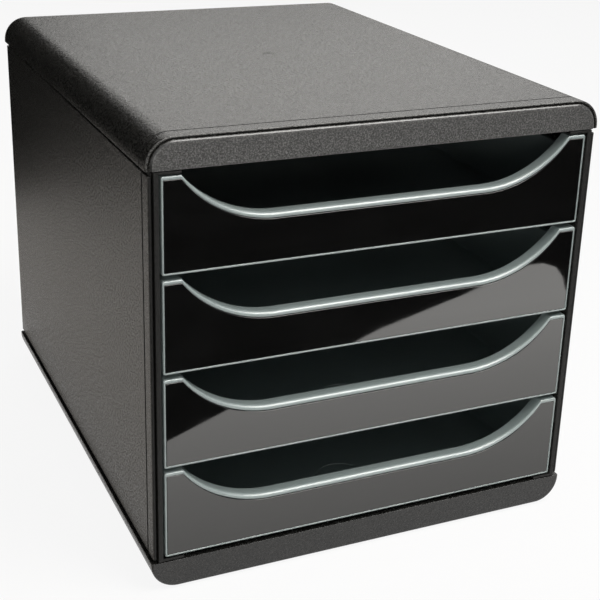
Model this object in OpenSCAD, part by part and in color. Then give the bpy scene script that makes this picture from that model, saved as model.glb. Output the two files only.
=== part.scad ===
// Letter tray stack: a desk cabinet with four sliding drawers for A4 and slightly larger sheets.
// Millimetres, +Z up, +X to the right seen from the front, and the drawers open towards -Y.
// The origin is the centre of the footprint, on the surface that the feet stand on.
// The casing is a top cover with a framed fascia, a plain base cover, two side panels and a back panel.
// Each drawer is a tray whose front wall carries a glossy front plate under a finger lip.

/* [Casing] */
// Overall width, across the two covers
case_w = 278; // [258:1:320]
// Overall depth, from the fascia to the back of the covers
case_d = 347; // [325:1:380]
// Height of a cover, from its seam with the side panels to its outer face
cover_h = 17.7; // [17.5:0.1:24]
// Radius of the covers' long rounded edges
cover_r = 16; // [10:0.5:17]
// Wall thickness of the covers
cover_wall = 2.6; // [2:0.1:3.2]
// Height of the stiffening ribs inside the covers
rib_h = 5; // [2:0.5:8]
// Thickness of those ribs
rib_t = 1.6; // [1:0.1:2.4]
// How far the side panels stand back from the covers' sides
side_inset = 1.4; // [0:0.1:2]
// Width of the shadow line between a side panel's skin and a cover
seam_gap = 1.8; // [0.3:0.1:2.4]
// Thickness of a side panel's outer skin
skin_t = 1.8; // [1.6:0.1:3]
// Thickness of the back panel
back_t = 2.2; // [1.6:0.1:3]
// How far the back panel stands in from the covers' rear faces
back_recess = 0.6; // [0.2:0.1:1.5]
// How far a side panel's tongues reach into the covers
side_tongue_h = 3; // [2.4:0.1:3.5]
// How far the back panel's tongues reach into the covers
back_tongue_h = 8; // [4:0.5:11]
// Height of the blocks that join the back panel to its tongues
root_h = 16; // [8:1:20]
// Thickness of the tongues
tongue_t = 2; // [1.6:0.1:2.4]

/* [Front frame] */
// How far the rim of the casing stands back from the top fascia
rim_back = 1.1; // [0.5:0.1:2]
// Depth of the shadow groove that runs round the fascia and the front strips
groove_depth = 4; // [2:0.5:6]
// Width of that groove beside the front strips
groove_w = 1; // [0.8:0.1:2]
// Width of that groove round the fascia
fascia_groove_w = 0.8; // [0.6:0.1:1.4]
// Thickness that the rim keeps over the fascia
top_rim_t = 1; // [0.8:0.1:1.6]
// Thickness that the rim keeps beside the fascia
side_rim_t = 1.5; // [0.8:0.1:2.4]
// Width of the front strip at each side of the drawers, which ends in an ear at its top and base
strip_w = 2.9; // [2:0.1:5]
// Gap between that strip's ears and the outermost drawers
ear_gap = 1; // [0.6:0.1:1.4]
// Gap between that strip's ears and the covers
ear_seam = 0.5; // [0.3:0.1:0.8]
// Depth of the smooth band behind the rim, up to the scored line
band_depth = 10.5; // [8:0.5:14]
// Width of the scored line
score_w = 0.7; // [0.4:0.1:1]
// Depth of the scored line
score_depth = 0.4; // [0.2:0.1:0.6]
// Diameter of the moulding mark on top
gate_d = 8; // [4:0.5:12]
// Depth of the moulding mark on top
gate_depth = 0.3; // [0.1:0.1:0.5]

/* [Drawers] */
// Height of a drawer's front
front_h = 54.6; // [50:0.2:75]
// Gap between two drawer fronts
drawer_gap = 3.2; // [2:0.1:5]
// Gap between the outermost drawers and the covers
end_gap = 3.05; // [2.8:0.05:4]
// Gap between a drawer's front and the strip beside it
side_gap = 1.2; // [0.6:0.05:2]
// How far the closed drawers stand back from the fascia
front_back = 0.3; // [0:0.1:1]
// Corner radius of a drawer's front
front_r = 1; // [0.4:0.1:3]
// Thickness of the tray's front wall, with the pocket for the plate
front_wall = 4; // [3.4:0.1:5]
// Depth of the rim round the back of the front wall
rim_depth = 8.4; // [6:0.2:12]
// Thickness of that rim, and of the front wall's edge round its plate
edge_t = 1.2; // [1:0.1:2.4]
// Thickness of the edge over each ear of the front
ear_edge_t = 2; // [1.2:0.1:3]
// Thickness of the glossy front plate
plate_t = 2; // [1.4:0.1:2.2]
// Thickness of the tray's floor
floor_t = 2; // [1.4:0.1:3]
// Thickness of the tray's side and rear walls
wall_t = 1.8; // [1.2:0.1:3]
// How far the tray's floor lies above the lower edge of the front
floor_lift = 1; // [0.5:0.1:3]
// Corner radius of the tray seen from above
tray_r = 5; // [3:0.5:12]
// How far the tray's rim lies below the top of the front
rim_drop = 8.8; // [7.5:0.1:12]
// Radius of the ring that marks the tray's floor
ring_r = 16; // [8:0.5:24]
// Width of that ring
ring_w = 1; // [0.5:0.1:2]
// Distance of that ring's centre from the drawer's front
ring_y = 40; // [30:1:60]
// Depth of that ring
ring_depth = 0.4; // [0.2:0.1:0.8]

/* [Finger scoop] */
// Length of the straight edge over each ear
ear_w = 11.2; // [8:0.1:20]
// Depth of the scoop below the top of the front
scoop_depth = 26; // [18:0.5:32]
// Width of the scoop's straight bottom
scoop_flat = 130; // [90:1:150]
// Thickness of the lip along the scoop
lip_t = 3.6; // [2.4:0.1:4.4]
// Reach of that lip from front to back
lip_depth = 9; // [6:0.2:12]
// Width of the lip's front face in the middle of the scoop
lip_face = 3.4; // [2.4:0.1:4.2]
// Width of the lip's front face where it meets an ear
lip_ear_t = 1.6; // [1:0.1:3]

/* [Runners] */
// How far a drawer pulls out before its lugs meet the posts
travel = 245; // [180:1:260]
// Width of the ledges that carry the trays
ledge_w = 9; // [7.4:0.1:10]
// Thickness of the ledges
ledge_t = 1.8; // [1.2:0.1:2.6]
// Thickness of the tray's flange
flange_t = 1.8; // [1.2:0.1:2.6]
// Gap between a flange and the strips it passes
flange_gap = 1.5; // [0.8:0.1:2]
// Gap between the tray's wall and a ledge
tray_gap = 0.8; // [0.5:0.1:1.5]
// Play under the ledge that holds a flange down
hold_gap = 0.5; // [0.3:0.1:1]
// Thickness of the posts at the ledges' rear ends
rear_post_t = 3; // [2:0.5:5]
// How far a stop lug stands out from the flange
lug_w = 3.2; // [2.4:0.1:3.8]
// Length of a stop lug
lug_l = 9; // [6:0.5:14]
// Gap between a closed tray and the back panel's tongue
rear_gap = 1; // [0.5:0.1:4]

/* [Feet] */
// Radius of a foot
foot_r = 8; // [5:0.5:12]
// How far a foot stands proud of the base
foot_proud = 1.5; // [1:0.1:4]
// Depth of the recess that a foot is glued into
foot_recess = 1; // [0.5:0.1:1.6]
// Distance of the feet's centres from the casing's sides
foot_x_in = 34; // [26:1:60]
// Distance of the feet's centres from the casing's front and back
foot_y_in = 34; // [22:1:60]

/* [Clearances] */
// Gap between fixed pieces, and between a runner and what slides on it
fit_gap = 0.3; // [0.2:0.05:0.35]
// Gap round the front plate and behind it
plate_gap = 0.15; // [0.05:0.05:0.3]
// Thickness of the glue over a foot
glue_t = 0.05; // [0.02:0.01:0.1]

/* [Hidden] */
$fn = 96;

// Overlap of cuts with open space, and of joined solids with each other
cut = 1;
lap = 0.5;

// Planes across the depth
front_y = -case_d / 2;
rear_y = case_d / 2;
drawer_y = front_y + front_back;
cavity_y = front_y + groove_depth + cover_wall;
post_rear_y = drawer_y + rim_depth + fit_gap;
back_y = rear_y - back_recess - back_t;
tongue_y = rear_y - cover_wall - fit_gap - tongue_t;
tray_rear_y = tongue_y - rear_gap;

// Planes across the half width
skin_out = case_w / 2 - side_inset;
skin_in = skin_out - skin_t;
strip_out = skin_in - groove_w;
strip_in = strip_out - strip_w;
front_half = strip_in - side_gap;
ledge_in = skin_in - ledge_w;
tray_half = ledge_in - tray_gap;
flange_half = strip_in - flange_gap;

// Heights
drawer_count = 4;
pitch = front_h + drawer_gap;
base_seam = foot_proud + cover_h;
stack_z = base_seam + end_gap;
stack_top = stack_z + drawer_count * pitch - drawer_gap;
top_seam = stack_top + end_gap;
tray_h = front_h - rim_drop;
flange_z = tray_h - flange_t;

// The scoop: a straight bottom between two arcs that meet the ears
scoop_end = front_half - ear_w;
function arc_radius(end_x, depth) = (pow(end_x - scoop_flat / 2, 2) + depth * depth) / (2 * depth);

// Ribs inside the covers
rib_count = 3;

// Square end of a stop lug, before it tapers back to the flange
lug_flat = lug_l / 3;

// A box between two corners, given as ranges along x, y and z
module block(x, y, z) {
    translate([x[0], y[0], z[0]]) cube([x[1] - x[0], y[1] - y[0], z[1] - z[0]]);
}

// Draws its child, an outline in x and z, from one plane across the depth to another
module along_y(y0, y1) {
    translate([0, y1, 0]) rotate([90, 0, 0]) linear_extrude(y1 - y0) children();
}

// A cover's outline seen from the front: seam at z = 0, round corners on top
module cover_outline(side_in, top_in, drop = 0) {
    w = case_w - 2 * side_in;
    r = cover_r - min(side_in, top_in);
    h = cover_h - top_in;
    intersection() {
        translate([-w / 2, -drop]) square([w, h + drop]);
        union() {
            translate([-w / 2, -drop]) square([w, h - r + drop]);
            translate([r - w / 2, -drop]) square([w - 2 * r, h + drop]);
            for (s = [-1, 1]) translate([s * (w / 2 - r), h - r]) circle(r);
        }
    }
}

// The rib stock inside a cover, before it is cut to the cavity
module cover_ribs(y0, y1) {
    roof = cover_h - cover_wall;
    half = case_w / 2 - cover_r;
    for (i = [1:rib_count]) {
        x = (2 * i / (rib_count + 1) - 1) * half;
        y = y0 + (y1 - y0) * i / (rib_count + 1);
        block([x - rib_t / 2, x + rib_t / 2], [y0 - lap, y1 + lap], [roof - rib_h, roof + lap]);
        block([-half, half], [y - rib_t / 2, y + rib_t / 2], [roof - rib_h, roof + lap]);
    }
}

// A cover lying with its seam at z = 0 and its outer face upwards, its front at the given plane
module cover(y) {
    cavity_rear = rear_y - cover_wall;
    difference() {
        along_y(y, rear_y) cover_outline(0, 0);
        along_y(cavity_y, cavity_rear) cover_outline(cover_wall, cover_wall, cut);
    }
    cover_ribs(cavity_y, cavity_rear);
}

// Top cover: its fascia stands in a groove inside the rim, and a small moulding mark lies on its top
module top_cover() {
    groove_y = front_y + groove_depth;
    fascia_in = side_rim_t + fascia_groove_w;
    fascia_down = top_rim_t + fascia_groove_w;
    color([0.10, 0.10, 0.10]) translate([0, 0, top_seam]) {
        difference() {
            cover(front_y + rim_back);
            along_y(front_y, groove_y) cover_outline(side_rim_t, top_rim_t, cut);
            along_y(front_y + band_depth, front_y + band_depth + score_w) difference() {
                cover_outline(-cut, -cut, cut);
                cover_outline(score_depth, score_depth, cut);
            }
            translate([0, 0, cover_h - gate_depth]) cylinder(h = gate_depth + cut, d = gate_d);
        }
        along_y(front_y, groove_y + lap) cover_outline(fascia_in, fascia_down);
    }
}

// Base cover, upside down and with a plain front, with recesses for the feet
module base_cover() {
    color([0.09, 0.09, 0.09]) difference() {
        translate([0, 0, base_seam]) mirror([0, 0, 1]) cover(front_y);
        for (sx = [-1, 1], sy = [-1, 1])
            translate([sx * foot_x(), sy * foot_y(), foot_proud - cut])
                cylinder(h = foot_recess + cut, r = foot_r + fit_gap);
    }
}

// Where the feet stand
function foot_x() = case_w / 2 - foot_x_in;
function foot_y() = case_d / 2 - foot_y_in;

// One round rubber foot
module foot(sx, sy) {
    color([0.05, 0.05, 0.05])
        translate([sx * foot_x(), sy * foot_y(), 0])
            cylinder(h = foot_proud + foot_recess - glue_t, r = foot_r);
}

// The two ledges that hold one drawer's flange between them
module runner(z) {
    under = z + flange_z - fit_gap;
    over = z + tray_h + hold_gap;
    for (low = [under - ledge_t, over])
        block([ledge_in, skin_in + lap], [post_rear_y, back_y - fit_gap], [low, low + ledge_t]);
}

// Side panel, the right-hand one: skin, front strip with its ears, posts and runners
module side_panel() {
    low = base_seam + ear_seam;
    high = top_seam - ear_seam;
    groove_y = front_y + groove_depth;
    rear = back_y - fit_gap;
    tongue_out = case_w / 2 - cover_wall - fit_gap;
    difference() {
        union() {
            block(
                [skin_in, skin_out],
                [front_y + rim_back, rear_y],
                [base_seam + seam_gap, top_seam - seam_gap]
            );
            block([strip_in, strip_out], [front_y, groove_y + lap], [low, high]);
            for (z = [[low, stack_z - ear_gap], [stack_top + ear_gap, high]])
                block([scoop_end, strip_in + lap], [front_y, groove_y], z);
            block([strip_in, skin_in + lap], [groove_y, post_rear_y], [low, high]);
            block([strip_in, skin_in + lap], [rear - rear_post_t, rear], [low, high]);
            block(
                [tongue_out - tongue_t, tongue_out],
                [cavity_y + fit_gap, tongue_y - fit_gap],
                [base_seam - side_tongue_h, top_seam + side_tongue_h]
            );
            for (k = [1:drawer_count]) runner(drawer_z(k));
        }
        block(
            [skin_out - score_depth, skin_out + cut],
            [front_y + band_depth, front_y + band_depth + score_w],
            [low - cut, high + cut]
        );
    }
}

module right_side() {
    color([0.12, 0.12, 0.12]) side_panel();
}

module left_side() {
    color([0.12, 0.12, 0.12]) mirror([1, 0, 0]) side_panel();
}

// Back panel, with a tongue that reaches behind each cover's rear wall
module back_panel() {
    low = base_seam + fit_gap;
    high = top_seam - fit_gap;
    tongue_half = ledge_in - fit_gap;
    color([0.11, 0.11, 0.11]) {
        block([fit_gap - skin_in, skin_in - fit_gap], [back_y, back_y + back_t], [low, high]);
        for (z = [[high - root_h, top_seam + back_tongue_h], [base_seam - back_tongue_h, low + root_h]])
            block([-tongue_half, tongue_half], [tongue_y, tongue_y + tongue_t], z);
        for (z = [[high - root_h, high - fit_gap], [low + fit_gap, low + root_h]])
            block([-tongue_half, tongue_half], [tongue_y, back_y + lap], z);
    }
}

// Height of the lower edge of a drawer's front; drawer 1 is the top one
function drawer_z(k) = stack_z + (drawer_count - k) * pitch;

// The space of the finger scoop, seen from the front, its edge moved down by the given amount
module scoop(end_x, depth, grow = 0) {
    r = arc_radius(end_x, depth);
    translate([-scoop_flat / 2, front_h - depth - grow]) square([scoop_flat, depth + grow + cut]);
    for (s = [-1, 1]) translate([s * scoop_flat / 2, front_h - depth + r]) circle(r + grow);
}

// A drawer's front seen from the front, its edges drawn in by the given amounts
module front_outline(side_in, top_in) {
    w = front_half - side_in;
    r = front_r;
    difference() {
        union() {
            translate([-w + r, side_in]) square([2 * (w - r), front_h - side_in - top_in]);
            translate([-w, side_in + r]) square([2 * w, front_h - side_in - top_in - 2 * r]);
            for (s = [-1, 1], z = [side_in + r, front_h - top_in - r]) translate([s * (w - r), z]) circle(r);
        }
        children();
    }
}

// The rim round the back of a front: sides, bottom and ears, open over the scoop
module front_rim() {
    open_half = scoop_end + 2 * lip_ear_t;
    difference() {
        front_outline(0, 0);
        front_outline(edge_t, edge_t);
        translate([-open_half, front_h / 2]) square([2 * open_half, front_h]);
    }
}

// Outline of the front plate, or of its pocket when the gap is 0
module plate_outline(gap) {
    front_outline(edge_t + gap, ear_edge_t + gap)
        scoop(scoop_end + lip_ear_t, scoop_depth + lip_face, gap);
}

// The lip along the scoop's edge, from one ear to the other
module lip() {
    along_y(0, lip_depth) difference() {
        intersection() {
            scoop(scoop_end, scoop_depth, lip_t);
            translate([-front_half, 0]) square([2 * front_half, front_h]);
        }
        scoop(scoop_end, scoop_depth);
    }
}

// The tray's box seen from above, its sides and rear drawn in by the given amount
module tray_plan(inset) {
    w = tray_half - inset;
    y0 = front_wall - lap - inset;
    y1 = tray_rear_y - drawer_y - inset;
    r = tray_r - inset;
    translate([-w, y0]) square([2 * w, y1 - y0 - r]);
    translate([r - w, y0]) square([2 * (w - r), y1 - y0]);
    for (s = [-1, 1]) translate([s * (w - r), y1 - r]) circle(r);
}

// Flange on the right of the tray, with the lug that stops the drawer
module flange() {
    lug_y = post_rear_y - drawer_y + travel + fit_gap;
    translate([0, 0, flange_z]) linear_extrude(flange_t) polygon([
        [tray_half - wall_t / 2, front_wall - lap],
        [flange_half, front_wall - lap],
        [flange_half, lug_y],
        [flange_half + lug_w, lug_y],
        [flange_half + lug_w, lug_y + lug_flat],
        [flange_half, lug_y + lug_l],
        [flange_half, tray_rear_y - drawer_y - tray_r],
        [tray_half - wall_t / 2, tray_rear_y - drawer_y - tray_r]
    ]);
}

// Tray of drawer k: front wall with its pocket, lip, box, flanges and floor ring
module drawer_tray(k) {
    plate_back = plate_t + plate_gap;
    floor_z = floor_lift + floor_t;
    color([0.62, 0.66, 0.66]) translate([0, drawer_y, drawer_z(k)]) difference() {
        union() {
            along_y(0, front_wall) front_outline(0, 0) scoop(scoop_end, scoop_depth, lip_t - lap);
            along_y(front_wall - lap, rim_depth) front_rim();
            lip();
            difference() {
                translate([0, 0, floor_lift]) linear_extrude(tray_h - floor_lift) tray_plan(0);
                translate([0, 0, floor_z]) linear_extrude(tray_h) tray_plan(wall_t);
            }
            for (s = [0, 1]) mirror([s, 0, 0]) flange();
        }
        along_y(-cut, plate_back) plate_outline(0);
        translate([0, ring_y, floor_z - ring_depth]) difference() {
            cylinder(h = ring_depth + cut, r = ring_r + ring_w / 2);
            translate([0, 0, -cut]) cylinder(h = ring_depth + 3 * cut, r = ring_r - ring_w / 2);
        }
    }
}

// Glossy front plate of drawer k, glued into its pocket
module drawer_front(k) {
    color([0.03, 0.03, 0.03]) translate([0, drawer_y, drawer_z(k)])
        along_y(0, plate_t) plate_outline(plate_gap);
}

top_cover();
base_cover();
left_side();
right_side();
back_panel();
foot(-1, -1);  // foot_front_left
foot(1, -1);  // foot_front_right
foot(-1, 1);  // foot_rear_left
foot(1, 1);  // foot_rear_right
drawer_tray(1);  // drawer_1_tray
drawer_front(1);  // drawer_1_front
drawer_tray(2);  // drawer_2_tray
drawer_front(2);  // drawer_2_front
drawer_tray(3);  // drawer_3_tray
drawer_front(3);  // drawer_3_front
drawer_tray(4);  // drawer_4_tray
drawer_front(4);  // drawer_4_front
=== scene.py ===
"""Letter tray stack: the looks of the casing and of the four drawers, in metres, in the model's own frame."""

import math

import bmesh
import bpy
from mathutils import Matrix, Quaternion, Vector


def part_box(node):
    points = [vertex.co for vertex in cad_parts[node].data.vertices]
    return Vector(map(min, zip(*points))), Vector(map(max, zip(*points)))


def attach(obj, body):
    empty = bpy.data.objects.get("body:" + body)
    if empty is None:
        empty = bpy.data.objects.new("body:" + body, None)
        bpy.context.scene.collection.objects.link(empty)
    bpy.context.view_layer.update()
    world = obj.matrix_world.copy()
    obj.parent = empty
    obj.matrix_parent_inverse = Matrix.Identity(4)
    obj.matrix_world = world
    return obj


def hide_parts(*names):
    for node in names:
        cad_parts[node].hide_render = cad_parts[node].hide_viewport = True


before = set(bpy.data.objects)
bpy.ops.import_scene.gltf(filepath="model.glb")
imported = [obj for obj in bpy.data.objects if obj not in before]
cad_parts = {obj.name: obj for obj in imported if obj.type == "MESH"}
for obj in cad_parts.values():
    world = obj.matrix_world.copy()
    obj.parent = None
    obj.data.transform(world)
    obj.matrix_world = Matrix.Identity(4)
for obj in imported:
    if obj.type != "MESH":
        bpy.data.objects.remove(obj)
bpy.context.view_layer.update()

MM = 0.001

# Casing, as in the part's source
COVER_R = 16 * MM
COVER_WALL = 2.6 * MM
SKIN_INSET = 1.4 * MM
SKIN = 1.8 * MM
SEAM_GAP = 1.8 * MM
TONGUE = 2 * MM
SIDE_TONGUE_H = 3 * MM
BACK_TONGUE_H = 8 * MM
ROOT_H = 16 * MM
BACK = 2.2 * MM
RIM_BACK = 1.1 * MM
TOP_RIM = 1 * MM
SIDE_RIM = 1.5 * MM
GROOVE_DEPTH = 4 * MM
GROOVE_SIDE = 1 * MM
FASCIA_GROOVE = 0.8 * MM
STRIP = 2.9 * MM
EAR_GAP = 1 * MM
EAR_SEAM = 0.5 * MM
BAND = 10.5 * MM
RIB_H = 5 * MM
RIB_T = 1.6 * MM
RIB_COUNT = 3
GATE_R = 4 * MM
GATE_DEPTH = 0.3 * MM
REAR_POST = 3 * MM

# Drawers, as in the part's source
DRAWERS = 4
FRONT_R = 1 * MM
FRONT_WALL = 4 * MM
RIM_DEPTH = 8.4 * MM
EDGE = 1.2 * MM
EAR_EDGE = 2 * MM
PLATE = 2 * MM
PLATE_GAP = 0.15 * MM
FLOOR = 2 * MM
WALL = 1.8 * MM
FLOOR_LIFT = 1 * MM
TRAY_R = 5 * MM
RIM_DROP = 8.8 * MM
EAR_W = 11.2 * MM
SCOOP_DEPTH = 26 * MM
SCOOP_FLAT = 130 * MM
LIP = 3.6 * MM
LIP_DEPTH = 9 * MM
LIP_FACE = 3.4 * MM
LIP_EAR = 1.6 * MM
RING_R = 16 * MM
RING_W = 1 * MM
RING_Y = 40 * MM
RING_DEPTH = 0.4 * MM

# Runners, as in the part's source
TRAVEL = 245 * MM
LEDGE_W = 9 * MM
LEDGE = 1.8 * MM
TRAY_GAP = 0.8 * MM
FLANGE = 1.8 * MM
FLANGE_GAP = 1.5 * MM
HOLD_GAP = 0.5 * MM
LUG_W = 3.2 * MM
LUG_L = 9 * MM
FIT_GAP = 0.3 * MM

# Scored lines and the seam's extra height under the top cover, all larger than in the solids,
# so that these dark lines read as in the photograph
SCORE_W = 1.2 * MM
SCORE_DEPTH = 0.9 * MM
SIDE_SCORE_W = 2 * MM
SIDE_SCORE_DEPTH = 1.2 * MM
SEAM_SHADOW = 0.8 * MM

# Edges that only the visible meshes round, break or slope: the casing's
BREAK = 0.3 * MM
WIDE_BREAK = 0.5 * MM
RIM_BREAK = 0.15 * MM
SLOPE = 0.1 * MM
COVER_REAR_R = 0.8 * MM
COVER_RIM_R = 0.7 * MM
BASE_FRONT_R = 1.4 * MM
FASCIA_R = 2 * MM
SKIN_END_R = 0.4 * MM
SKIN_FRONT_R = 1.2 * MM
STRIP_OUT_R = 0.4 * MM
STRIP_IN_R = 0.6 * MM

# ... a foot's, which stands on a ring round a shallow dish
PAD_R = 0.8 * MM
PAD_RING = 2.6 * MM
PAD_SLOPE = 0.6 * MM
PAD_DISH = 0.25 * MM

# ... and a drawer's
POCKET_R = 0.4 * MM
PLATE_R = 0.5 * MM
PLATE_EDGE_R = 0.2 * MM
WALL_R = 0.7 * MM
UNDER_R = 1.4 * MM
FILLET_R = 1.8 * MM
TRAY_R_LEAST = 1 * MM
RING_BOTTOM = 0.2 * MM

# Share of the scoop's curve over which a front's edge grows into the lip, and the values of its section
# at the sides and ears and on the lip
LIP_FULL = 0.75
ROLL_SHARE = (0.5, 0.62)
ROLL_BULGE = (1, 1.6)
REAR_ROLL_R = (0.4 * MM, 2 * MM)
PLATE_SIDE_R = (0.45 * MM, 1.2 * MM)

# How far the meshes of one piece reach into each other
LAP = 0.5 * MM
RIB_LAP = 1 * MM
BOX_LAP = 0.3 * MM
WALL_LAP = 0.2 * MM
POCKET_LAP = 0.1 * MM

# Steps and radii too small to see, where faces would else lie in one plane
HAIR = 0.02 * MM
EAR_STEP = 0.1 * MM

# Steps of the round stretches
EDGE_STEPS = 5
CORNER_STEPS = 4
RIM_STEPS = 6
ROLL_STEPS = 9
TRAY_STEPS = 8
SHOULDER_STEPS = 14
COVER_FOOT_STEPS = 3
SKIN_END_STEPS = 2
SCOOP_STEPS = 28
CIRCLE_STEPS = 48
RING_STEPS = 64
BREAK_STEPS = 2
SEAM_BREAK_STEPS = 3

# Distance within which points are joined, and angle in degrees above which an edge stays sharp
WELD = 1e-7
SHARP_ANGLE = 34

# Which faces are painted: how squarely they look forward, as the Y of their normal, and how far
# outside the strip they may lie
FASCIA_FACING = -0.95
STRIP_FACING = -0.7
PAINT_MARGIN = 0.1 * MM

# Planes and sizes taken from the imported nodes
TOP_LOW, TOP_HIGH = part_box("top_cover")
HALF_W = TOP_HIGH.x
FRONT_Y, REAR_Y = TOP_LOW.y, TOP_HIGH.y
TOP_SEAM, BASE_SEAM = TOP_LOW.z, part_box("base_cover")[1].z
COVER_H = TOP_HIGH.z - TOP_SEAM
TRAY_LOW, TRAY_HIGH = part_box("drawer_1_tray")
DRAWER_Y, TRAY_REAR = TRAY_LOW.y, TRAY_HIGH.y
FRONT_H = TRAY_HIGH.z - TRAY_LOW.z
TRAY_H = FRONT_H - RIM_DROP
STACK_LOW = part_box(f"drawer_{DRAWERS}_tray")[0].z
STACK_HIGH = TRAY_HIGH.z
FRONT_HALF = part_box("drawer_1_front")[1].x + PLATE_GAP + EDGE
SCOOP_END = FRONT_HALF - EAR_W
TONGUE_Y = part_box("back_panel")[0].y
BACK_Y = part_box("back_panel")[1].y - BACK

# Planes worked out from these
RIM_Y = FRONT_Y + RIM_BACK
GROOVE_Y = FRONT_Y + GROOVE_DEPTH
SCORE_Y = FRONT_Y + BAND
SIDE_SCORE_END = SCORE_Y + SIDE_SCORE_W
CAVITY_Y, CAVITY_REAR = GROOVE_Y + COVER_WALL, REAR_Y - COVER_WALL
POST_REAR = DRAWER_Y + RIM_DEPTH + FIT_GAP
SKIN_OUT = HALF_W - SKIN_INSET
SKIN_IN = SKIN_OUT - SKIN
STRIP_OUT = SKIN_IN - GROOVE_SIDE
STRIP_IN = STRIP_OUT - STRIP
STRIP_LOW, STRIP_HIGH = BASE_SEAM + EAR_SEAM, TOP_SEAM - EAR_SEAM
LEDGE_IN = SKIN_IN - LEDGE_W
TRAY_HALF = LEDGE_IN - TRAY_GAP
FLANGE_HALF = STRIP_IN - FLANGE_GAP


# ---------------------------------------------------------------- mesh helpers


def arc(cx, cy, radius, start, end, steps):
    """Points on an arc, from one angle to another in degrees."""
    angles = [math.radians(start + (end - start) * i / steps) for i in range(steps + 1)]
    return [(cx + radius * math.cos(a), cy + radius * math.sin(a)) for a in angles]


def circle(cx, cy, radius, steps=CIRCLE_STEPS):
    """Points on a full circle."""
    return arc(cx, cy, radius, 0, 360, steps)[:-1]


def mirrored(half):
    """An outline completed by the mirror image of its half in x."""
    return half + [(-x, other) for x, other in reversed(half)]


def level(points, z, side=1):
    """Points seen from above laid at a height, mirrored to the left where side is -1."""
    return [(side * x, y, z) for x, y in points]


def blend(start, end, share):
    """A value between two others."""
    return start + (end - start) * share


def eased(t, full):
    """0 at 0 and 1 from full onwards, eased between."""
    t = min(t / full, 1)
    return t * t * (3 - 2 * t)


def loft(bm, rings, closed=False, cyclic=False, caps=False):
    """Quads between rings of equal length: closed joins each ring's ends, and cyclic the last ring to the
    first. Caps close the first and the last ring."""
    rows = [[bm.verts.new(p) for p in ring] for ring in rings]
    count = len(rows[0])
    pairs = list(zip(rows, rows[1:])) + ([(rows[-1], rows[0])] if cyclic else [])
    for a, b in pairs:
        for i in range(count if closed else count - 1):
            j = (i + 1) % count
            bm.faces.new((a[i], a[j], b[j], b[i]))
    if caps:
        bm.faces.new(rows[0])
        bm.faces.new(rows[-1])
    return rows


def fill(bm, *loops):
    """A flat face bounded by closed loops of vertices, the later ones being holes."""
    edges = []
    for loop in loops:
        for a, b in zip(loop, loop[1:] + loop[:1]):
            edges.append(bm.edges.get((a, b)) or bm.edges.new((a, b)))
    bmesh.ops.triangle_fill(bm, edges=edges, use_beauty=True, use_dissolve=False)


def bar(bm, x, y, z, bevel=BREAK):
    """A moulded bar that spans a range in each direction, with its edges broken."""
    corners = bmesh.ops.create_cube(bm, size=1)["verts"]
    for v in corners:
        v.co = Vector([a[0] if c < 0 else a[1] for a, c in zip((x, y, z), v.co)])
    edges = list(dict.fromkeys(e for v in corners for e in v.link_edges))
    bmesh.ops.bevel(bm, geom=edges, offset=bevel, segments=BREAK_STEPS, affect="EDGES", profile=0.5)


def across(side, inner, outer):
    """A range in x between two distances from the middle, on one side."""
    return (inner, outer) if side > 0 else (-outer, -inner)


def piece(name, bm, body, material, replaces):
    """The finished mesh as an object that rides on a body and stands for a node."""
    bmesh.ops.remove_doubles(bm, verts=bm.verts, dist=WELD)
    bmesh.ops.recalc_face_normals(bm, faces=bm.faces)
    mesh = bpy.data.meshes.new(name)
    bm.to_mesh(mesh)
    bm.free()
    mesh.shade_smooth()
    mesh.set_sharp_from_angle(angle=math.radians(SHARP_ANGLE))
    mesh.materials.append(material)
    obj = bpy.data.objects.new(name, mesh)
    bpy.context.scene.collection.objects.link(obj)
    weighted = obj.modifiers.new("weighted_normals", "WEIGHTED_NORMAL")
    weighted.keep_sharp = True
    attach(obj, body)
    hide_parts(replaces)
    return obj


# ---------------------------------------------------------------- materials


def grey(value):
    """A neutral colour."""
    return (value, value, value)


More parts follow.
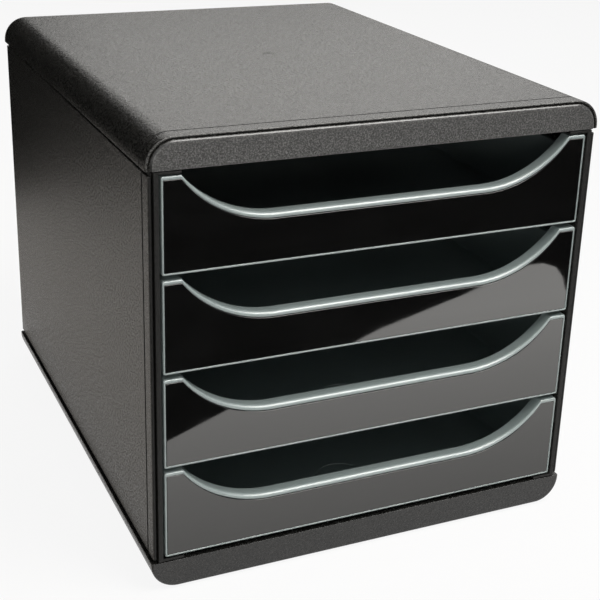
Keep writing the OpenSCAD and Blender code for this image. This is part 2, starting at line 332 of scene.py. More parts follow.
class Shader:
    """A node material around one Principled shader."""

    def __init__(self, name, color, roughness, **sockets):
        self.material = bpy.data.materials.new(name)
        self.material.use_nodes = True
        self.nodes = self.material.node_tree.nodes
        self.links = self.material.node_tree.links
        self.shader = self.nodes["Principled BSDF"]
        self.shader.inputs["Base Color"].default_value = (*color, 1)
        self.shader.inputs["Roughness"].default_value = roughness
        for key, value in sockets.items():
            self.shader.inputs[key.replace("_", " ")].default_value = value
        self.coords = self.nodes.new("ShaderNodeTexCoord").outputs["Object"]

    def noise(self, scale, detail=3, roughness=0.55, stretch=None):
        """Noise in the object's own space, at a number of features in a metre."""
        node = self.nodes.new("ShaderNodeTexNoise")
        node.inputs["Scale"].default_value = scale
        node.inputs["Detail"].default_value = detail
        node.inputs["Roughness"].default_value = roughness
        coords = self.coords
        if stretch:
            mapping = self.nodes.new("ShaderNodeMapping")
            mapping.inputs["Scale"].default_value = stretch
            self.links.new(coords, mapping.inputs["Vector"])
            coords = mapping.outputs["Vector"]
        self.links.new(coords, node.inputs["Vector"])
        return node.outputs["Fac"]

    def spread(self, value, source, target):
        """A value mapped from one range to another."""
        node = self.nodes.new("ShaderNodeMapRange")
        node.inputs["From Min"].default_value, node.inputs["From Max"].default_value = source
        node.inputs["To Min"].default_value, node.inputs["To Max"].default_value = target
        self.links.new(value, node.inputs["Value"])
        return node.outputs["Result"]

    def tint(self, value, *stops):
        """Colours along a ramp, painted by a value, each stop given as its place and colour."""
        ramp = self.nodes.new("ShaderNodeValToRGB")
        while len(ramp.color_ramp.elements) < len(stops):
            ramp.color_ramp.elements.new(0.5)
        for element, (place, color) in zip(ramp.color_ramp.elements, stops):
            element.position = place
            element.color = (*color, 1)
        self.links.new(value, ramp.inputs["Fac"])
        self.links.new(ramp.outputs["Color"], self.shader.inputs["Base Color"])

    def rough(self, value, source, target):
        """Roughness that follows a value, over a range of its own."""
        self.links.new(self.spread(value, source, target), self.shader.inputs["Roughness"])

    def bump(self, *layers):
        """Bumps laid over each other, each given as its height value, depth in metres and strength."""
        normal = None
        for value, depth, strength in layers:
            node = self.nodes.new("ShaderNodeBump")
            node.inputs["Distance"].default_value = depth
            node.inputs["Strength"].default_value = strength
            self.links.new(value, node.inputs["Height"])
            if normal is not None:
                self.links.new(normal, node.inputs["Normal"])
            normal = node.outputs["Normal"]
        self.links.new(normal, self.shader.inputs["Normal"])
        return self.material


# Features of the grains in a metre
SKIN_GRAIN = 800
SKIN_DIMPLES = 420
FASCIA_GRAIN = 1100
TRAY_CLOUDS = 22
TRAY_GRAIN = 1600
PLATE_SMEARS = 26
PLATE_WAVES = 7
PLATE_GRAIN = 1800
RUBBER_GRAIN = 700
FLOOR_GRAIN = 3

# Colours, and how far the skin's roughness goes to each side of its mean
ROUGH_SPREAD = 0.08
CASING_DARK = (0.004, 0.004, 0.0035)
CASING_LIGHT = (0.042, 0.041, 0.038)
# Lighter grain colour of the base, kept darker than the casing's as painted shade
SHADED_BASE_LIGHT = (0.018, 0.0175, 0.0165)
STRIP_AND_SHADE_LIGHT = (0.01, 0.01, 0.0095)
BEAD_LIGHT = (0.03, 0.03, 0.029)
FASCIA_MIDDLE = (0.034, 0.034, 0.0335)
FASCIA_LIGHT = (0.115, 0.115, 0.114)
TRAY_COLOR = (0.23, 0.275, 0.275)
TRAY_DARK = (0.22, 0.265, 0.265)
TRAY_LIGHT = (0.24, 0.285, 0.285)


def skin_plastic(name, dark, light, roughness=0.26, relief=1, **sockets):
    """Black fine-grained plastic of the casing, its grain between two colours and its bumps to a scale."""
    s = Shader(name, dark, roughness, **sockets)
    grain = s.noise(SKIN_GRAIN, detail=4, roughness=0.7)
    s.tint(grain, (0.38, dark), (0.62, light))
    s.rough(grain, (0.35, 0.65), (roughness - ROUGH_SPREAD, roughness + ROUGH_SPREAD))
    dimples = s.noise(SKIN_DIMPLES, detail=3, roughness=0.6)
    return s.bump((dimples, 1.1 * MM, 0.42 * relief), (grain, 0.8 * MM, 0.45 * relief))


def fascia_plastic():
    """Coarser spark-eroded grain of the fascia."""
    s = Shader("fascia_grain", grey(0.04), 0.5)
    grain = s.noise(FASCIA_GRAIN, detail=3, roughness=0.7)
    s.tint(grain, (0.38, grey(0.008)), (0.5, FASCIA_MIDDLE), (0.64, FASCIA_LIGHT))
    s.rough(grain, (0.3, 0.7), (0.6, 0.4))
    return s.bump((grain, 0.4 * MM, 0.65))


def tray_plastic():
    """Grey-green satin plastic of the trays."""
    s = Shader("tray_satin", TRAY_COLOR, 0.36, Specular_IOR_Level=1)
    s.tint(s.noise(TRAY_CLOUDS, detail=4), (0.3, TRAY_DARK), (0.7, TRAY_LIGHT))
    fine = s.noise(TRAY_GRAIN, detail=2)
    s.rough(fine, (0.3, 0.7), (0.34, 0.38))
    return s.bump((fine, 0.05 * MM, 0.3))


def plate_plastic():
    """Black high-gloss front plates, slightly uneven as moulded, with faint smears."""
    s = Shader("plate_gloss", grey(0.0035), 0.05, IOR=1.75)
    smear = s.noise(PLATE_SMEARS, detail=5, roughness=0.65, stretch=(1, 1, 2.2))
    s.tint(smear, (0.3, grey(0.003)), (0.8, grey(0.006)))
    s.rough(smear, (0.35, 0.75), (0.02, 0.05))
    waves = s.noise(PLATE_WAVES, detail=2, roughness=0.4, stretch=(1, 1, 1.4))
    fine = s.noise(PLATE_GRAIN, detail=1)
    return s.bump((waves, 1.2 * MM, 0.06), (fine, 0.01 * MM, 0.05))


def rubber():
    """Dark rubber of the feet."""
    s = Shader("foot_rubber", grey(0.02), 0.75)
    grain = s.noise(RUBBER_GRAIN, detail=4)
    s.tint(grain, (0.3, grey(0.012)), (0.7, grey(0.03)))
    return s.bump((grain, 0.3 * MM, 0.5))


SKIN_MATERIAL = skin_plastic("casing_grain", CASING_DARK, CASING_LIGHT)
# the base cover's plastic is the casing's painted darker, as painted shade
SHADED_BASE_MATERIAL = skin_plastic("base_grain_painted_shade", CASING_DARK, SHADED_BASE_LIGHT)
FASCIA_MATERIAL = fascia_plastic()
TRAY_MATERIAL = tray_plastic()
PLATE_MATERIAL = plate_plastic()
# The strips' dark plastic, also used as painted shade in the scored lines and in the gaps beside the drawers
STRIP_AND_SHADE_MATERIAL = skin_plastic("strip_grain_and_painted_shade", grey(0.003), STRIP_AND_SHADE_LIGHT, 0.45, Specular_IOR_Level=0.22)
BEAD_MATERIAL = skin_plastic("bead_grain", grey(0.02), BEAD_LIGHT, 0.28, relief=0.2)
RUBBER_MATERIAL = rubber()


# ---------------------------------------------------------------- casing


def cover_outline(side_in, top_in, foot_r):
    """A cover's outline in x and height over its seam: foot, round shoulder, top, shoulder, foot."""
    w, h = HALF_W - side_in, COVER_H - top_in
    r = COVER_R - min(side_in, top_in)
    foot_arc = arc(-w + foot_r, foot_r, foot_r, 270, 180, COVER_FOOT_STEPS)
    return mirrored(foot_arc + arc(r - w, h - r, r, 180, 90, SHOULDER_STEPS))


def rolled(y, side, top, radius, forward):
    """Stations (y, side inset, top inset) that round an edge, from the outer face to the face at y,
    which looks forward or to the rear."""
    way = 1 if forward else -1
    quarter = arc(radius, radius, radius, 270, 180, EDGE_STEPS)
    return [(y + way * back, side + inset, top + inset) for back, inset in quarter]


def framed_front():
    """Stations of the top cover's front: scored line, rim, groove and the fascia that stands in it."""
    fascia_side, fascia_top = SIDE_RIM + FASCIA_GROOVE, TOP_RIM + FASCIA_GROOVE
    score_end = SCORE_Y + SCORE_W
    stations = [
        (score_end, 0, 0),
        (score_end - SLOPE, SCORE_DEPTH, SCORE_DEPTH),
        (SCORE_Y + SLOPE, SCORE_DEPTH, SCORE_DEPTH),
        (SCORE_Y, 0, 0),
    ]
    stations += rolled(RIM_Y, 0, 0, COVER_RIM_R, forward=True)
    stations += [
        (RIM_Y, SIDE_RIM - RIM_BREAK, TOP_RIM - RIM_BREAK),
        (RIM_Y + BREAK, SIDE_RIM, TOP_RIM),
        (GROOVE_Y, SIDE_RIM, TOP_RIM),
        (GROOVE_Y, fascia_side, fascia_top),
    ]
    return stations + rolled(FRONT_Y, fascia_side, fascia_top, FASCIA_R, forward=True)


def gate_mark(bm, corners):
    """The small round moulding mark, let into the flat face between four corners of the top."""
    face = next(f for f in corners[0].link_faces if set(corners) == set(f.verts))
    bm.faces.remove(face)
    profile = [(GATE_R, COVER_H), (GATE_R - SLOPE, COVER_H - GATE_DEPTH)]
    rows = loft(bm, [level(circle(0, 0, r), z) for r, z in profile], closed=True)
    bm.faces.new(rows[-1])
    fill(bm, list(corners), rows[0])


def cover_ribs(bm):
    """Stiffening ribs under a cover's roof, crossing each other."""
    half = HALF_W - COVER_R
    roof = COVER_H - COVER_WALL
    rib_z = (roof - RIB_H, roof + RIB_LAP)
    for i in range(1, RIB_COUNT + 1):
        x = (2 * i / (RIB_COUNT + 1) - 1) * half
        y = CAVITY_Y + (CAVITY_REAR - CAVITY_Y) * i / (RIB_COUNT + 1)
        bar(bm, (x - RIB_T / 2, x + RIB_T / 2), (CAVITY_Y, CAVITY_REAR), rib_z)
        bar(bm, (-half, half), (y - RIB_T / 2, y + RIB_T / 2), rib_z)


def cover_shape(bm, front, marked=False):
    """One cover with its seam at height 0: outer skin with the given front, cavity and ribs."""
    rear = rolled(REAR_Y, 0, 0, COVER_REAR_R, forward=False)[::-1]
    rings = [[(x, y, z) for x, z in cover_outline(s, t, WIDE_BREAK)] for y, s, t in rear + front]
    rows = loft(bm, rings, caps=True)
    if marked:
        behind, ahead, middle = rows[len(rear) - 1], rows[len(rear)], len(rows[0]) // 2
        gate_mark(bm, (behind[middle - 1], behind[middle], ahead[middle], ahead[middle - 1]))

    # the cavity behind the front wall, open at the seam
    inner = cover_outline(COVER_WALL, COVER_WALL, HAIR)
    cavity = loft(bm, [[(x, y, z) for x, z in inner] for y in (CAVITY_Y, CAVITY_REAR)], caps=True)

    # the seam's face round the cavity, with its front edge broken
    left = [row[0] for row in rows]
    right = [row[-1] for row in rows]
    fill(bm, left + right[::-1], [cavity[0][0], cavity[1][0], cavity[1][-1], cavity[0][-1]])
    edge = bm.edges.get((left[-1], right[-1]))
    bmesh.ops.bevel(
        bm, geom=[edge], offset=WIDE_BREAK, segments=SEAM_BREAK_STEPS, affect="EDGES", profile=0.5
    )
    cover_ribs(bm)


def top_cover():
    """The top cover, its fascia in the coarser grain and its scored line painted dark as shade."""
    bm = bmesh.new()
    cover_shape(bm, framed_front(), marked=True)
    for v in bm.verts:
        v.co.z += TOP_SEAM
    obj = piece("top_cover_shell", bm, "casing", SKIN_MATERIAL, "top_cover")
    for material in (FASCIA_MATERIAL, BEAD_MATERIAL, STRIP_AND_SHADE_MATERIAL):
        obj.data.materials.append(material)
    # the scored line's faces are painted dark as shade
    fascia, bead, scored = 1, 2, 3
    for polygon in obj.data.polygons:
        y = polygon.center.y
        if y < RIM_Y:
            polygon.material_index = fascia if polygon.normal.y < FASCIA_FACING else bead
        elif SCORE_Y < y < SCORE_Y + SCORE_W:
            polygon.material_index = scored


def base_cover():
    """The base cover, upside down and with a plain front, its plastic a darker copy of the casing's as
    painted shade.
    """
    bm = bmesh.new()
    cover_shape(bm, rolled(FRONT_Y, 0, 0, BASE_FRONT_R, forward=True))
    for v in bm.verts:
        v.co.z = BASE_SEAM - v.co.z
    piece("base_cover_shell", bm, "casing", SHADED_BASE_MATERIAL, "base_cover")


def skin_section(inset):
    """The right panel's skin seen from above: broken rear edge, scored line and rounded front edge."""
    out, rear, rim = SKIN_OUT - inset, REAR_Y - inset, RIM_Y + inset
    bottom = out - SIDE_SCORE_DEPTH
    section = [(SKIN_IN, rear), (out - WIDE_BREAK, rear), (out, rear - WIDE_BREAK)]
    section += [(out, SIDE_SCORE_END), (bottom, SIDE_SCORE_END - SLOPE)]
    section += [(bottom, SCORE_Y + SLOPE), (out, SCORE_Y)]
    section += arc(out - SKIN_FRONT_R, rim + SKIN_FRONT_R, SKIN_FRONT_R, 0, -90, RIM_STEPS)
    return section + [(SKIN_IN + BREAK, rim), (SKIN_IN, rim + BREAK)]


def panel_skin(bm, side):
    """The outer skin of a side panel, its lower and upper ends slightly rounded."""
    ends = arc(SKIN_END_R, SKIN_END_R, SKIN_END_R, -90, -180, SKIN_END_STEPS)
    low, high = BASE_SEAM + SEAM_GAP, TOP_SEAM - SEAM_GAP - SEAM_SHADOW
    stations = [(inset, low + rise) for inset, rise in ends]
    stations += [(inset, high - rise) for inset, rise in reversed(ends)]
    loft(bm, [level(skin_section(inset), z, side) for inset, z in stations], closed=True, caps=True)


def panel_strip(bm, side):
    """The front strip beside the drawers, with an ear at its base and top."""
    outline = [(SKIN_IN + LAP, POST_REAR), (SKIN_IN + LAP, GROOVE_Y), (STRIP_OUT, GROOVE_Y)]
    outline += arc(STRIP_OUT - STRIP_OUT_R, FRONT_Y + STRIP_OUT_R, STRIP_OUT_R, 0, -90, CORNER_STEPS)
    outline += arc(STRIP_IN + STRIP_IN_R, FRONT_Y + STRIP_IN_R, STRIP_IN_R, -90, -180, CORNER_STEPS)
    outline += [(STRIP_IN, POST_REAR)]
    loft(bm, [level(outline, z, side) for z in (STRIP_LOW, STRIP_HIGH)], closed=True, caps=True)
    for ear in ((STRIP_LOW, STACK_LOW - EAR_GAP), (STACK_HIGH + EAR_GAP, STRIP_HIGH)):
        bar(bm, across(side, SCOOP_END, STRIP_IN + LAP), (FRONT_Y + EAR_STEP, GROOVE_Y), ear)


def panel_inside(bm, side):
    """What a side panel carries inside: tongue, rear post, and a ledge under and over each flange."""
    rear = BACK_Y - FIT_GAP
    tongue_out = HALF_W - COVER_WALL - FIT_GAP
    tongue_y = (CAVITY_Y + FIT_GAP, TONGUE_Y - FIT_GAP)
    tongue_z = (BASE_SEAM - SIDE_TONGUE_H, TOP_SEAM + SIDE_TONGUE_H)
    bar(bm, across(side, tongue_out - TONGUE, tongue_out), tongue_y, tongue_z)
    bar(bm, across(side, STRIP_IN, SKIN_IN + LAP), (rear - REAR_POST, rear), (STRIP_LOW, STRIP_HIGH))
    for k in range(1, DRAWERS + 1):
        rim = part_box(f"drawer_{k}_tray")[0].z + TRAY_H
        for ledge in (rim - FLANGE - FIT_GAP - LEDGE, rim + HOLD_GAP):
            bar(bm, across(side, LEDGE_IN, SKIN_IN + LAP), (POST_REAR, rear), (ledge, ledge + LEDGE))


def side_panel(name, side):
    """A side panel, its scored line and the faces beside the drawers in the dark strip material: the strips'
    darker plastic, and painted shade in the scored line and the gaps.
    """
    bm = bmesh.new()
    panel_skin(bm, side)
    panel_strip(bm, side)
    panel_inside(bm, side)
    obj = piece(name + "_skin", bm, "casing", SKIN_MATERIAL, name)
    obj.data.materials.append(STRIP_AND_SHADE_MATERIAL)
    grained, dark = 0, 1
    for polygon in obj.data.polygons:
        x, y = abs(polygon.center.x), polygon.center.y
        # the scored line and the faces at the front beside the drawers get the dark material, partly as
        # painted shade
        scored = x > SKIN_IN and SCORE_Y < y < SIDE_SCORE_END
        facing = y < GROOVE_Y and (x < STRIP_OUT + PAINT_MARGIN or polygon.normal.y < STRIP_FACING)
        polygon.material_index = dark if scored or facing else grained


def foot(name):
    """One round rubber foot with a dished underside, standing in its recess."""
    low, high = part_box(name)
    cx, cy = (low.x + high.x) / 2, (low.y + high.y) / 2
    r = (high.x - low.x) / 2
    profile = [(r - PAD_RING - PAD_SLOPE, low.z + PAD_DISH), (r - PAD_RING, low.z)]
    profile += arc(r - PAD_R, low.z + PAD_R, PAD_R, -90, 0, EDGE_STEPS)
    profile += [(r, high.z)]
    bm = bmesh.new()
    loft(bm, [level(circle(cx, cy, radius), z) for radius, z in profile], closed=True, caps=True)
    piece(name + "_pad", bm, "casing", RUBBER_MATERIAL, name)


def back_panel():
    """The rear panel between the covers, its edges broken, with a block and tongue at its top and base."""
    low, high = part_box("back_panel")
    bm = bmesh.new()
    panel_z = (BASE_SEAM + FIT_GAP, TOP_SEAM - FIT_GAP)
    bar(bm, (low.x, high.x), (BACK_Y, high.y), panel_z, bevel=WIDE_BREAK)
    top_z = (TOP_SEAM - ROOT_H, TOP_SEAM + BACK_TONGUE_H)
    base_z = (BASE_SEAM - BACK_TONGUE_H, BASE_SEAM + ROOT_H)
    for tongue_z in (top_z, base_z):
        bar(bm, (FIT_GAP - LEDGE_IN, LEDGE_IN - FIT_GAP), (TONGUE_Y, TONGUE_Y + TONGUE), tongue_z)
    piece("back_panel_sheet", bm, "casing", SKIN_MATERIAL, "back_panel")


# ---------------------------------------------------------------- drawers


def front_loop(edge_share, gap, corner):
    """Closed outline of a front: corners, ears and the scoop, always with the same number of points.
    It lies inside the front's outside by a share of the edge round the plate, and a gap. Also how far
    each point lies along the scoop, from 0 outside it to 1 on its straight bottom."""
    inset = EDGE * edge_share + gap
    w, top = FRONT_HALF - inset, FRONT_H - (EAR_EDGE * edge_share + gap)
    flat, depth = SCOOP_FLAT / 2, SCOOP_DEPTH + LIP_FACE * edge_share + gap
    end_x = SCOOP_END + LIP_EAR * edge_share + gap
    radius = ((end_x - flat) ** 2 + depth**2) / (2 * depth)
    centre = FRONT_H - depth + radius
    reach = math.degrees(math.acos((centre - top) / radius))
    corners = arc(w - corner, inset + corner, corner, -90, 0, CORNER_STEPS)
    corners += arc(w - corner, top - corner, corner, 0, 90, CORNER_STEPS)
    scoop = arc(flat, centre, radius, -90 + reach, -90, SCOOP_STEPS)
    share = [0] * len(corners) + [i / SCOOP_STEPS for i in range(SCOOP_STEPS + 1)]
    return mirrored(corners + scoop), share + share[::-1]


def edge_section(width, lip):
    """Section across a front's edge, as points (distance inwards, depth), from its inside round its rear
    and its rolled front to the plate. Lip is 0 at the sides and ears and 1 on the lip in the scoop."""
    deep = blend(RIM_DEPTH, LIP_DEPTH, lip)
    thick = blend(EDGE, LIP, lip)
    rear_r = blend(*REAR_ROLL_R, lip)
    side_r = blend(*PLATE_SIDE_R, lip)
    front_r = width * blend(*ROLL_SHARE, lip)
    bulge = blend(*ROLL_BULGE, lip)
    section = [(thick, FRONT_WALL - WALL_LAP), (thick, deep)]
    section += arc(rear_r, deep - rear_r, rear_r, 90, 180, EDGE_STEPS)
    section += [(d, y * bulge) for d, y in arc(front_r, front_r, front_r, 180, 270, ROLL_STEPS)]
    section += arc(width - side_r, side_r, side_r, -90, 0, CORNER_STEPS)
    return section + [(width, PLATE + PLATE_GAP + POCKET_LAP)]


def edge_ring(bm, z0):
    """The rounded edge round the plate: thin at the sides and over the ears, a rolled lip in the scoop."""
    outer, share = front_loop(0, 0, FRONT_R)
    inner, _ = front_loop(1, 0, POCKET_R)
    columns = []
    for (ox, oz), (ix, iz), s in zip(outer, inner, share):
        width = math.hypot(ix - ox, iz - oz)
        ex, ez = (ix - ox) / width, (iz - oz) / width
        section = edge_section(width, eased(s, LIP_FULL))
        columns.append([(ox + ex * d, DRAWER_Y + y, z0 + min(oz + ez * d, FRONT_H)) for d, y in section])
    rings = [[column[k] for column in columns] for k in range(len(columns[0]))]
    loft(bm, rings, closed=True, cyclic=True)


def front_wall(bm, z0):
    """The wall behind the plate, which closes the edge ring."""
    loop, _ = front_loop(0.5, 0, WALL_R)
    rings = [[(x, DRAWER_Y + y, z0 + z) for x, z in loop] for y in (PLATE + PLATE_GAP, FRONT_WALL)]
    loft(bm, rings, closed=True, caps=True)


def tray_plan(inset):
    """The tray's box seen from above: open towards the front wall."""
    w, rear = TRAY_HALF - inset, TRAY_REAR - inset
    r = max(TRAY_R - inset, TRAY_R_LEAST)
    front = DRAWER_Y + FRONT_WALL - BOX_LAP
    return mirrored([(-w, front)] + arc(r - w, rear - r, r, 180, 90, TRAY_STEPS))


def tray_box(bm, z0):
    """Floor with its ring groove, side walls with rounded rims, and the fillet between them."""
    under, floor, rim = z0 + FLOOR_LIFT, z0 + FLOOR_LIFT + FLOOR, z0 + TRAY_H
    stations = arc(UNDER_R, under + UNDER_R, UNDER_R, -90, -180, CORNER_STEPS)
    stations += arc(WALL / 2, rim - WALL / 2, WALL / 2, 180, 0, RIM_STEPS)
    stations += arc(WALL + FILLET_R, floor + FILLET_R, FILLET_R, 180, 270, EDGE_STEPS)
    rows = loft(bm, [level(tray_plan(inset), z) for inset, z in stations])
    bm.faces.new(rows[0])
    bm.faces.new([row[0] for row in rows] + [row[-1] for row in reversed(rows)])

    groove = [(RING_R + RING_W / 2, floor), (RING_R + RING_BOTTOM, floor - RING_DEPTH)]
    groove += [(RING_R - RING_BOTTOM, floor - RING_DEPTH), (RING_R - RING_W / 2, floor)]
    rings = [level(circle(0, DRAWER_Y + RING_Y, radius, RING_STEPS), z) for radius, z in groove]
    ring_rows = loft(bm, rings, closed=True)
    bm.faces.new(ring_rows[-1])
    fill(bm, rows[-1], ring_rows[0])


def flange(bm, z0, side):
    """A flange along the tray's rim, with its stop lug, which slopes back over two thirds of its length."""
    wall, lug = TRAY_HALF - WALL / 2, FLANGE_HALF + LUG_W
    front, rear = DRAWER_Y + FRONT_WALL - LAP, TRAY_REAR - TRAY_R
    lug_y = POST_REAR + TRAVEL + FIT_GAP
    outline = [(wall, front), (FLANGE_HALF, front), (FLANGE_HALF, lug_y), (lug, lug_y)]
    outline += [(lug, lug_y + LUG_L / 3), (FLANGE_HALF, lug_y + LUG_L), (FLANGE_HALF, rear), (wall, rear)]
    heights = (z0 + TRAY_H - FLANGE, z0 + TRAY_H - HAIR)
    loft(bm, [level(outline, z, side) for z in heights], closed=True, caps=True)


def tray(k):
    """Tray of drawer k: edge ring, front wall, box and flanges with their stop lugs."""
    z0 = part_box(f"drawer_{k}_tray")[0].z
    bm = bmesh.new()
    edge_ring(bm, z0)
    front_wall(bm, z0)
    tray_box(bm, z0)
    flange(bm, z0, -1)
    flange(bm, z0, 1)
    piece(f"drawer_{k}_tray_shell", bm, f"drawer_{k}", TRAY_MATERIAL, f"drawer_{k}_tray")


def plate(k):
    """Gloss plate of drawer k, the edge of its face slightly rounded."""
    z0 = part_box(f"drawer_{k}_tray")[0].z
    loop, _ = front_loop(1, PLATE_GAP, PLATE_R)
    before, after = loop[-1:] + loop[:-1], loop[1:] + loop[:1]

    def ring(inset, y):
        """The plate's outline at a depth, drawn in at right angles to itself."""
        points = []
        for (ax, az), (x, z), (bx, bz) in zip(before, loop, after):
            tx, tz = bx - ax, bz - az
            length = math.hypot(tx, tz)
            points.append((x - inset * tz / length, DRAWER_Y + y, z0 + z + inset * tx / length))
        return points

    stations = [(0, PLATE)] + arc(PLATE_EDGE_R, PLATE_EDGE_R, PLATE_EDGE_R, 180, 270, CORNER_STEPS)
    bm = bmesh.new()
    loft(bm, [ring(inset, y) for inset, y in stations], closed=True, caps=True)
    piece(f"drawer_{k}_plate", bm, f"drawer_{k}", PLATE_MATERIAL, f"drawer_{k}_front")


top_cover()
base_cover()
side_panel("left_side", -1)
side_panel("right_side", 1)
back_panel()
for corner in ("front_left", "front_right", "rear_left", "rear_right"):
    foot("foot_" + corner)
for number in range(1, DRAWERS + 1):
    tray(number)
    plate(number)


# ---------------------------------------------------------------- stage, lights and camera

# Half of the floor's side in metres, how far it glows towards white, and the colours of the lights and of the
# painted reflections
FLOOR_HALF = 6
FLOOR_GLOW = 0.9
FILL_COLOR = (0.97, 0.99, 1)
LAMP_COLOR = (1, 0.97, 0.93)
CARD_TONE = (1, 0.985, 0.955)
SIDE_TONE = (1, 0.94, 0.87)


def background_factor(nodes, links):
    """1 for rays from the camera and for mirrored and transmitted ones, else 0."""
    path = nodes.new("ShaderNodeLightPath")
    value = path.outputs["Is Camera Ray"]
    for other in ("Is Glossy Ray", "Is Transmission Ray"):
        node = nodes.new("ShaderNodeMath")
        node.operation = "MAXIMUM"
        links.new(value, node.inputs[0])
        links.new(path.outputs[other], node.inputs[1])
        value = node.outputs["Value"]
    return value


def studio_world(light):
    """White to the camera and in reflections, and a dimmer even light on the object."""
    world = bpy.data.worlds.new("studio")
    world.use_nodes = True
    nodes, links = world.node_tree.nodes, world.node_tree.links
    white, fill_light = nodes["Background"], nodes.new("ShaderNodeBackground")
    white.inputs["Color"].default_value = (1, 1, 1, 1)
    fill_light.inputs["Color"].default_value = (*FILL_COLOR, 1)
    fill_light.inputs["Strength"].default_value = light
    mix = nodes.new("ShaderNodeMixShader")
    links.new(background_factor(nodes, links), mix.inputs["Fac"])
    links.new(fill_light.outputs["Background"], mix.inputs[1])
    links.new(white.outputs["Background"], mix.inputs[2])
    links.new(mix.outputs["Shader"], nodes["World Output"].inputs["Surface"])
    bpy.context.scene.world = world


def sheet(x, y, z):
    """Corners of a card that lies flat and spans a range in x and in y."""
    return level([(x[0], y[0]), (x[1], y[0]), (x[1], y[1]), (x[0], y[1])], z)


def screen(left, right, low, high):
    """Corners of an upright card between two points on the floor."""
    return [(*left, low), (*right, low), (*right, high), (*left, high)]


def flat_object(name, corners, material):
    """An object of one flat face."""
    mesh = bpy.data.meshes.new(name)
    mesh.from_pydata(corners, [], [tuple(range(len(corners)))])
    mesh.materials.append(material)
    obj = bpy.data.objects.new(name, mesh)
    bpy.context.scene.collection.objects.link(obj)
    return obj


def stage_floor():
    """A pale floor that fades to white for the camera and in reflections, and keeps a soft shadow."""
    s = Shader("floor_paper", grey(0.86), 0.9)
    s.rough(s.noise(FLOOR_GRAIN), (0.3, 0.7), (0.85, 0.95))
    glow = s.nodes.new("ShaderNodeEmission")
    glow.inputs["Color"].default_value = (1, 1, 1, 1)
    mix = s.nodes.new("ShaderNodeMixShader")
    share = s.spread(background_factor(s.nodes, s.links), (0, 1), (0, FLOOR_GLOW))
    s.links.new(share, mix.inputs["Fac"])
    s.links.new(s.shader.outputs["BSDF"], mix.inputs[1])
    s.links.new(glow.outputs["Emission"], mix.inputs[2])
    s.links.new(mix.outputs["Shader"], s.nodes["Material Output"].inputs["Surface"])
    span = (-FLOOR_HALF, FLOOR_HALF)
    floor = flat_object("floor", sheet(span, span, 0), s.material)


def card(name, corners, glow, span=(0, 1), tone=CARD_TONE):
    """A glowing card that only mirrored rays see, a painted reflection. Its glow goes between two values over
    a span in Y.
    """
    s = Shader(name + "_painted_reflection", grey(0), 1, Specular_IOR_Level=0)
    s.shader.inputs["Emission Color"].default_value = (*tone, 1)
    split = s.nodes.new("ShaderNodeSeparateXYZ")
    s.links.new(s.coords, split.inputs["Vector"])
    s.links.new(s.spread(split.outputs["Y"], span, glow), s.shader.inputs["Emission Strength"])
    obj = flat_object(name, corners, s.material)
    for ray in ("camera", "diffuse", "shadow", "transmission", "volume_scatter"):
        setattr(obj, "visible_" + ray, False)


def aimed(place, aim):
    """The turn that points a lamp or camera from its place at its aim."""
    return (Vector(aim) - Vector(place)).to_track_quat("-Z", "Y")


def softbox(name, place, aim, size, power):
    """A rectangular lamp that faces a point."""
    lamp = bpy.data.lights.new(name, "AREA")
    lamp.color = LAMP_COLOR
    lamp.shape = "RECTANGLE"
    lamp.size, lamp.size_y = size
    lamp.energy = power
    obj = bpy.data.objects.new(name, lamp)
    obj.location = place
    obj.rotation_mode = "QUATERNION"
    obj.rotation_quaternion = aimed(place, aim)
    bpy.context.scene.collection.objects.link(obj)


def camera(place, aim, roll, lens, shift_y):
    """The camera near the photograph's viewing angle, with a part of its lens shift."""
    data = bpy.data.cameras.new("camera")
    data.lens = lens
    data.shift_y = shift_y
    obj = bpy.data.objects.new("camera", data)
    obj.location = place
    obj.rotation_mode = "QUATERNION"
    obj.rotation_quaternion = aimed(place, aim) @ Quaternion((0, 0, 1), math.radians(roll))
    bpy.context.scene.collection.objects.link(obj)
    bpy.context.scene.camera = obj


# Heights of the cards that lie on the floor, the darker one on top, and of the screens' lower edges
PAPER_Z = 0.0005
SHADE_Z = 0.001
SCREEN_Z = 0.002

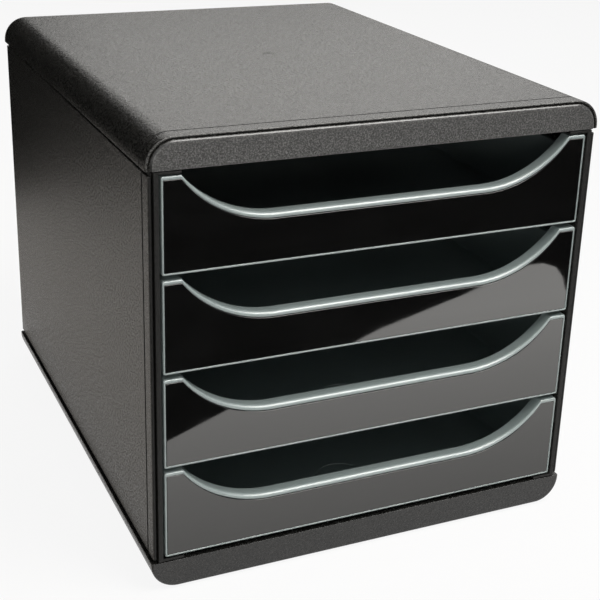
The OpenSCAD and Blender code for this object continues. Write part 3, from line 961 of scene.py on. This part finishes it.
# Edge of the white paper before the object, with its rounded corner, and of the dark floor round it
PAPER_EDGE = [(-0.6, -0.08), (-0.071, -0.34), (-0.021, -0.366), (0.155, -0.458), (0.265, -0.501)]
PAPER_EDGE += [(0.316, -0.525), (0.363, -0.544), (0.38, -0.543), (0.386, -0.53), (0.377, -0.506)]
PAPER_EDGE += [(0.36, -0.477), (0.4, -0.3)]
FLOOR_EDGE = [(4, -0.3), (4, -4), (-4, -4), (-4, 1)]

# Range in Y of the sheets beside the object, and the height at which what stands behind it turns white
SIDE_SPAN = (-0.2, 1.2)
HORIZON_Z = 0.49

# A bright card high over the object, which paints highlights
LIGHT_CORNERS = [(-0.1, -1.3, 1.5), (1.4, -1.3, 1.5), (1.4, 0.2, 1.6), (-0.1, 0.2, 1.6)]

bpy.context.scene.view_settings.view_transform = "Standard"
studio_world(light=0.14)
stage_floor()

# painted reflections in the front plates: a lit floor that dims towards the object as painted shadow, and a
# dark floor round it
card("paper", sheet((-0.6, 0.6), (-0.6, -0.2), PAPER_Z), glow=(1, 2.2), span=(-0.2, -0.47))
card("dark_floor", level(PAPER_EDGE + FLOOR_EDGE, SHADE_Z), glow=(0, 0))

# painted dark reflection in the left side's upper rear
card("dark_rear", screen((-2.2, 0.4), (-0.05, 0.58), SCREEN_Z, 2), glow=(0, 0))

# painted reflections that give the top its sheen, grey low down and white higher up
card("grey_rear", screen((-0.1, 0.9), (2.5, 0.9), SCREEN_Z, HORIZON_Z), glow=(0.2, 0.2))
card("white_rear", screen((-0.1, 0.9), (0.8, 0.9), HORIZON_Z, 1.4), glow=(2.15, 2.15))

# painted reflections in the rest of the left side: a lit floor that dims towards the rear, and a dimmer strip
# along the object's foot as painted shadow
side_paper = sheet((-2.2, -0.15), SIDE_SPAN, PAPER_Z)
card("side_paper", side_paper, glow=(0.62, 0.4), span=(0.3, 0.8), tone=SIDE_TONE)
side_shade = sheet((-0.195, -0.145), SIDE_SPAN, SHADE_Z)
card("side_shade", side_shade, glow=(0.42, 0.42), tone=SIDE_TONE)

# painted highlights on the rounded edges
card("edge_light", LIGHT_CORNERS, glow=(7.5, 7.5))

softbox("overhead", place=(0.5, -0.75, 1.4), aim=(0, -0.15, 0.15), size=(0.8, 0.8), power=18)
softbox("key", place=(-0.35, -1.7, 0.3), aim=(0, -0.15, 0.12), size=(0.9, 0.5), power=9)
softbox("rear", place=(0.5, 1.3, 1), aim=(0, 0, 0.27), size=(1.6, 0.9), power=4)
camera(
    place=(-0.3182, -0.7599, 0.4424),
    aim=(-0.0518, -0.1735, 0.1961),
    roll=1.69,
    lens=75.5,
    shift_y=-0.07,
)
